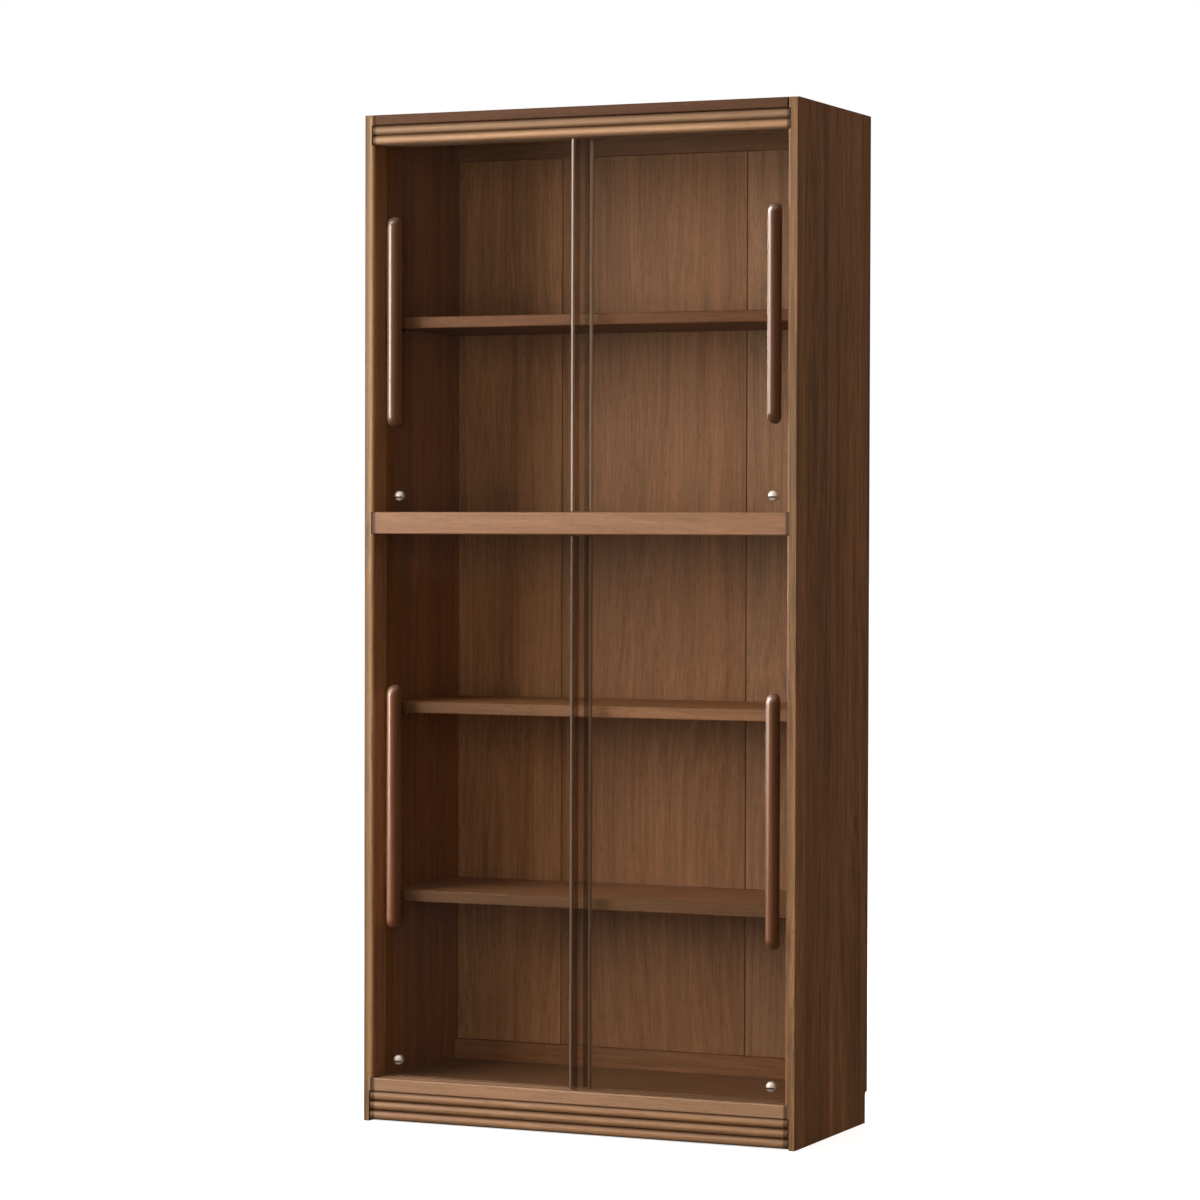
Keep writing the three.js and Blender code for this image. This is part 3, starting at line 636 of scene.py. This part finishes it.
def handle(node):
    """A handle lofted along its length: round front edges, ends rounded in both directions."""
    low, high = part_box(node)
    centre_x = (low[0] + high[0]) / 2
    half_width = (high[0] - low[0]) / 2
    depth = high[1] - low[1]
    turns = [QUARTER_TURN * i / HANDLE_END_STEPS for i in range(HANDLE_END_STEPS + 1)]
    shorts = [HANDLE_END_RADIUS * (1 - math.cos(turn)) for turn in turns]
    stations = [(low[2] + short, short) for short in shorts]
    stations += [(high[2] - short, short) for short in reversed(shorts)]
    work = bmesh.new()
    rings = []
    for height, short in stations:
        width_here = rounded_end(half_width, HANDLE_CORNER_RADIUS, short)
        depth_here = rounded_end(depth, HANDLE_END_RADIUS, short)
        section = handle_section(width_here, depth_here)
        rings.append([work.verts.new((centre_x + x, high[1] + y, height)) for x, y in section])
    for below, above in zip(rings, rings[1:]):
        for i in range(len(below)):
            j = (i + 1) % len(below)
            work.faces.new((below[i], below[j], above[j], above[i]))
    work.faces.new(list(reversed(rings[0])))
    work.faces.new(rings[-1])
    bmesh.ops.recalc_face_normals(work, faces=work.faces)
    mesh = smooth_mesh(work, node + "_look")
    mesh.materials.append(material_of(node))
    return stand_in(node + "_look", mesh, node)


STRIP_NOSE_RADIUS = 3.6 * MM
STRIP_LIP_RADIUS = 0.5 * MM
NOSE_DEPTH = 4.6 * MM
NOSE_STEPS = 6


def strip_outline(width, depth):
    """Points round a strip's section, from its lip to its nose and back, and which are cloudy."""
    radius = STRIP_NOSE_RADIUS
    front = [(0.0, STRIP_LIP_RADIUS), (STRIP_LIP_RADIUS, 0.0), (width - NOSE_DEPTH, 0.0)]
    for step in range(NOSE_STEPS + 1):
        turn = QUARTER_TURN * step / NOSE_STEPS
        front.append((width - radius + radius * math.sin(turn), radius - radius * math.cos(turn)))
    outline = front + [(x, depth - y) for x, y in reversed(front)]
    cloudy = [x >= width - NOSE_DEPTH - WELD for x, y in outline]
    return outline, cloudy


def edge_strip(node):
    """A clear strip over a pane's meeting edge, with a rounded cloudy nose."""
    low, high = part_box(node)
    outline, cloudy = strip_outline(high[0] - low[0], high[1] - low[1])
    at_right = "_left_" in node
    work = bmesh.new()
    rings = []
    for height in (low[2], high[2]):
        places = [(low[0] + x if at_right else high[0] - x, low[1] + y) for x, y in outline]
        rings.append([work.verts.new((x, y, height)) for x, y in places])
    count = len(outline)
    for i in range(count):
        j = (i + 1) % count
        face = work.faces.new((rings[0][i], rings[0][j], rings[1][j], rings[1][i]))
        face.material_index = 1 if cloudy[i] and cloudy[j] else 0
    for ring in rings:
        work.faces.new(ring).material_index = 1
    bmesh.ops.recalc_face_normals(work, faces=work.faces)
    mesh = smooth_mesh(work, node + "_look")
    kind = "low_strip" if node.startswith("lower") else "strip"
    mesh.materials.append(materials[kind + "_flange"])
    mesh.materials.append(materials[kind + "_nose"])
    return stand_in(node + "_look", mesh, node)


def pane_edge_to_strip(work, node):
    """Draws a pane's meeting edge back to where its clear strip begins."""
    strip_low, strip_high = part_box(node.replace("pane", "edge_strip"))
    low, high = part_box(node)
    old, new = (high[0], strip_low[0]) if "_left_" in node else (low[0], strip_high[0])
    for vert in work.verts:
        if abs(vert.co.x - old) < WELD:
            vert.co.x = new


BUTTON_SIDES = 48
BUTTON_RIM_SHARE = 0.45
DOME_STEPS = 7
SLOT_WIDTH_SHARE = 1.6
SLOT_HEIGHT_SHARE = 0.36
SLOT_LEAST_DEPTH = 0.12
SLOT_DROP_SHARE = 0.3


def button_body(radius, depth):
    """A low dome on a straight rim, its axis along Y and its front towards -Y."""
    rim = depth * BUTTON_RIM_SHARE
    outline = [(radius, depth), (radius, rim)]
    for step in range(1, DOME_STEPS):
        turn = QUARTER_TURN * step / DOME_STEPS
        outline.append((radius * math.cos(turn), rim * (1 - math.sin(turn))))
    work = bmesh.new()
    turns = [2 * math.pi * i / BUTTON_SIDES for i in range(BUTTON_SIDES)]
    rings = [
        [work.verts.new((reach * math.cos(turn), y, reach * math.sin(turn))) for turn in turns]
        for reach, y in outline
    ]
    for outer, inner in zip(rings, rings[1:]):
        for i in range(BUTTON_SIDES):
            j = (i + 1) % BUTTON_SIDES
            work.faces.new((outer[i], outer[j], inner[j], inner[i]))
    work.faces.new(rings[0])
    tip = work.verts.new((0, 0, 0))
    for i in range(BUTTON_SIDES):
        work.faces.new((rings[-1][i], rings[-1][(i + 1) % BUTTON_SIDES], tip))
    bmesh.ops.recalc_face_normals(work, faces=work.faces)
    return work


def cut_away(mesh, cutter_mesh):
    """The mesh less the cutter."""
    scene = bpy.context.scene
    body = bpy.data.objects.new("body", mesh)
    cutter = bpy.data.objects.new("cutter", cutter_mesh)
    scene.collection.objects.link(body)
    scene.collection.objects.link(cutter)
    less = body.modifiers.new("less", "BOOLEAN")
    less.object = cutter
    less.solver = "EXACT"
    evaluated = body.evaluated_get(bpy.context.evaluated_depsgraph_get())
    result = bpy.data.meshes.new_from_object(evaluated)
    bpy.data.objects.remove(body)
    bpy.data.objects.remove(cutter)
    return result


def button(node):
    """A bright domed button with a finger slot across its lower half."""
    low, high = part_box(node)
    radius = (high[0] - low[0]) / 2
    depth = high[1] - low[1]
    centre = Vector(((low[0] + high[0]) / 2, low[1], (low[2] + high[2]) / 2))
    blank = bpy.data.meshes.new("button_blank")
    work = button_body(radius, depth)
    bmesh.ops.translate(work, verts=work.verts, vec=centre)
    work.to_mesh(blank)
    work.free()
    tool = bpy.data.meshes.new("slot_cutter")
    work = bmesh.new()
    bmesh.ops.create_cube(work, size=1)
    size = (radius * SLOT_WIDTH_SHARE, depth, radius * SLOT_HEIGHT_SHARE)
    bmesh.ops.scale(work, verts=work.verts, vec=size)
    drop = Vector((0, 0, radius * SLOT_DROP_SHARE))
    bmesh.ops.translate(work, verts=work.verts, vec=centre - drop)
    work.to_mesh(tool)
    work.free()
    work = bmesh.new()
    work.from_mesh(cut_away(blank, tool))
    # The slot's inside faces take a dark metal: painted shade inside the slot.
    for face in work.faces:
        place = face.calc_center_median() - centre
        across = abs(place.x) <= size[0] / 2 + WELD
        level = abs(place.z + drop.z) <= size[2] / 2 + WELD
        inside = place.y > depth * SLOT_LEAST_DEPTH
        face.material_index = 1 if across and level and inside else 0
    mesh = smooth_mesh(work, node + "_look")
    mesh.materials.append(material_of(node))
    mesh.materials.append(materials["button_slot"])
    return stand_in(node + "_look", mesh, node)


ARRIS_OF_SLOT = {
    "carcass_wood": 0.8 * MM,
    "inside_wood": 0.6 * MM,
    "moulding_wood": 0.5 * MM,
    "back_wood": 0.3 * MM,
    "shelf_wood": 0.5 * MM,
    "door_glass": 0.5 * MM,
    "track_liner": 0.2 * MM,
    "pin_steel": 0.1 * MM,
    "screw_steel": 0.12 * MM,
}


def make_pieces():
    """Every CAD node's stand-in, by the node's name."""
    pieces = {}
    for node, slot in slot_of_node.items():
        if slot == "handle_wood":
            pieces[node] = handle(node)
        elif slot == "edge_strip":
            pieces[node] = edge_strip(node)
        elif slot == "button":
            pieces[node] = button(node)
        else:
            pieces[node] = arrised(node, ARRIS_OF_SLOT[slot])
    return pieces


FLOOR_HALF = 60
FLOOR_PALE = (0.8, 0.8, 0.8, 1.0)
FLOOR_LIFT = 0.68
FLOOR_DIM = (0.16, 0.15, 0.14, 1.0)
FLOOR_MIRRORED = (0.062, 0.057, 0.053, 1.0)
WHITE = (1.0, 1.0, 1.0)
WARM_WHITE = (1.0, 0.93, 0.85)


def make_floor():
    """A plain pale floor: white to the camera, darker to the light that it would throw upwards."""
    mesh = bpy.data.meshes.new("floor")
    corners = [(x * FLOOR_HALF, y * FLOOR_HALF, 0) for x, y in ((-1, -1), (1, -1), (1, 1), (-1, 1))]
    mesh.from_pydata(corners, [], [(0, 1, 2, 3)])
    floor = bpy.data.objects.new("floor", mesh)
    bpy.context.scene.collection.objects.link(floor)
    material, graph = new_material("studio_floor")
    rays = graph.node("ShaderNodeLightPath").outputs
    pale = graph.node("ShaderNodeBsdfDiffuse", {0: FLOOR_PALE})
    lift = graph.node("ShaderNodeEmission", {0: WHITE + (1.0,), 1: FLOOR_LIFT})
    bright = graph.node("ShaderNodeAddShader", {0: pale.outputs[0], 1: lift.outputs[0]})
    dim = graph.node("ShaderNodeBsdfDiffuse", {0: FLOOR_DIM})
    mirrored = graph.node("ShaderNodeBsdfDiffuse", {0: FLOOR_MIRRORED})
    values = {0: rays["Is Glossy Ray"], 1: dim.outputs[0], 2: mirrored.outputs[0]}
    unseen = graph.node("ShaderNodeMixShader", values)
    values = {0: rays["Is Camera Ray"], 1: unseen.outputs[0], 2: bright.outputs[0]}
    mixed = graph.node("ShaderNodeMixShader", values)
    graph.node("ShaderNodeOutputMaterial", {0: mixed.outputs[0]})
    mesh.materials.append(material)


AMBIENT = 0.13
AMBIENT_COLOUR = (1.0, 0.86, 0.74, 1.0)


def make_world():
    """White behind the object, and a weak warm light from all round it."""
    world = bpy.data.worlds.new("studio")
    bpy.context.scene.world = world
    world.use_nodes = True
    graph = Graph(world.node_tree)
    seen = graph.node("ShaderNodeLightPath").outputs["Is Camera Ray"]
    ambient = graph.node("ShaderNodeBackground", {0: AMBIENT_COLOUR, 1: AMBIENT})
    white = graph.node("ShaderNodeBackground", {0: WHITE + (1.0,), 1: 1.0})
    values = {0: seen, 1: ambient.outputs[0], 2: white.outputs[0]}
    mixed = graph.node("ShaderNodeMixShader", values)
    graph.node("ShaderNodeOutputWorld", {0: mixed.outputs[0]})


AIM = Vector((0, 0, 0.95))
MATT, GLOSSY, BOTH = "matt", "glossy", "both"

# Name, azimuth, elevation, distance, width and height, watts, colour, and the shading it acts on.
# Azimuth 0 is straight in front, and grows to the right.
ROOM_LAMPS = (
    ("key", -42, 18, 4.2, (3.2, 3.0), 225, WARM_WHITE, MATT),
    ("glint", -53, 10, 3.6, (2.6, 2.5), 160, WARM_WHITE, GLOSSY),
    ("fill", 12, 4, 5.0, (3.4, 2.6), 70, WARM_WHITE, MATT),
    ("rear_fill", 205, 30, 4.5, (2.0, 2.0), 90, WHITE, BOTH),
)
OVERHEAD_STRENGTH = 1.5
OVERHEAD_ANGLE = math.radians(100)

# The same for the lamps that light handles alone, each with the doors whose handles it lights.
# They give a bright edge and tip, also where the side panel would shade a recessed handle.
HANDLE_LAMPS = (
    (("left_handle_glow", 42, 12, 3.4, (2.4, 2.4), 26, WARM_WHITE, MATT),
     ("upper_left", "lower_left")),
    (("left_handle_shine", -78, 12, 3.0, (4.4, 2.6), 480, WARM_WHITE, GLOSSY),
     ("upper_left", "lower_left")),
    (("lower_handle_edge", -60, 8, 3.0, (1.2, 1.2), 145, WARM_WHITE, MATT),
     ("lower_left", "lower_right")),
    (("handle_crown", -85, 42, 3.2, (3.0, 2.6), 560, WARM_WHITE, GLOSSY),
     ("upper_left", "upper_right", "lower_left", "lower_right")),
)


def area_light(name, azimuth, elevation, distance, size, power, colour, shading):
    """A soft box on a stand, turned to the object."""
    data = bpy.data.lights.new(name, "AREA")
    data.shape = "RECTANGLE"
    data.size, data.size_y = size
    data.energy = power
    data.color = colour
    lamp = bpy.data.objects.new(name, data)
    lamp.visible_camera = False
    lamp.visible_glossy = shading != MATT
    lamp.visible_diffuse = shading != GLOSSY
    bpy.context.scene.collection.objects.link(lamp)
    turn = math.radians(azimuth)
    lift = math.radians(elevation)
    level = math.cos(lift)
    towards = Vector((math.sin(turn) * level, -math.cos(turn) * level, math.sin(lift)))
    place = Matrix.Translation(AIM + towards * distance)
    lamp.matrix_world = place @ towards.to_track_quat("Z", "Y").to_matrix().to_4x4()
    return lamp


def make_lights():
    """A key from the left with its glint, a weak front fill, light on the back and from above."""
    for lamp in ROOM_LAMPS:
        area_light(*lamp)
    data = bpy.data.lights.new("overhead", "SUN")
    data.energy = OVERHEAD_STRENGTH
    data.color = WARM_WHITE
    data.angle = OVERHEAD_ANGLE
    overhead = bpy.data.objects.new("overhead", data)
    bpy.context.scene.collection.objects.link(overhead)


def light_handles(pieces):
    """The lamps that light handles alone, with no shade from the other pieces."""
    for settings, doors in HANDLE_LAMPS:
        lamp = area_light(*settings)
        lit = bpy.data.collections.new(lamp.name + "_pieces")
        for door in doors:
            lit.objects.link(pieces[door + "_handle"])
        lamp.light_linking.receiver_collection = lit
        lamp.light_linking.blocker_collection = lit


make_camera()
pieces = make_pieces()
make_floor()
make_world()
make_lights()
light_handles(pieces)
bpy.context.scene.view_settings.view_transform = "Standard"
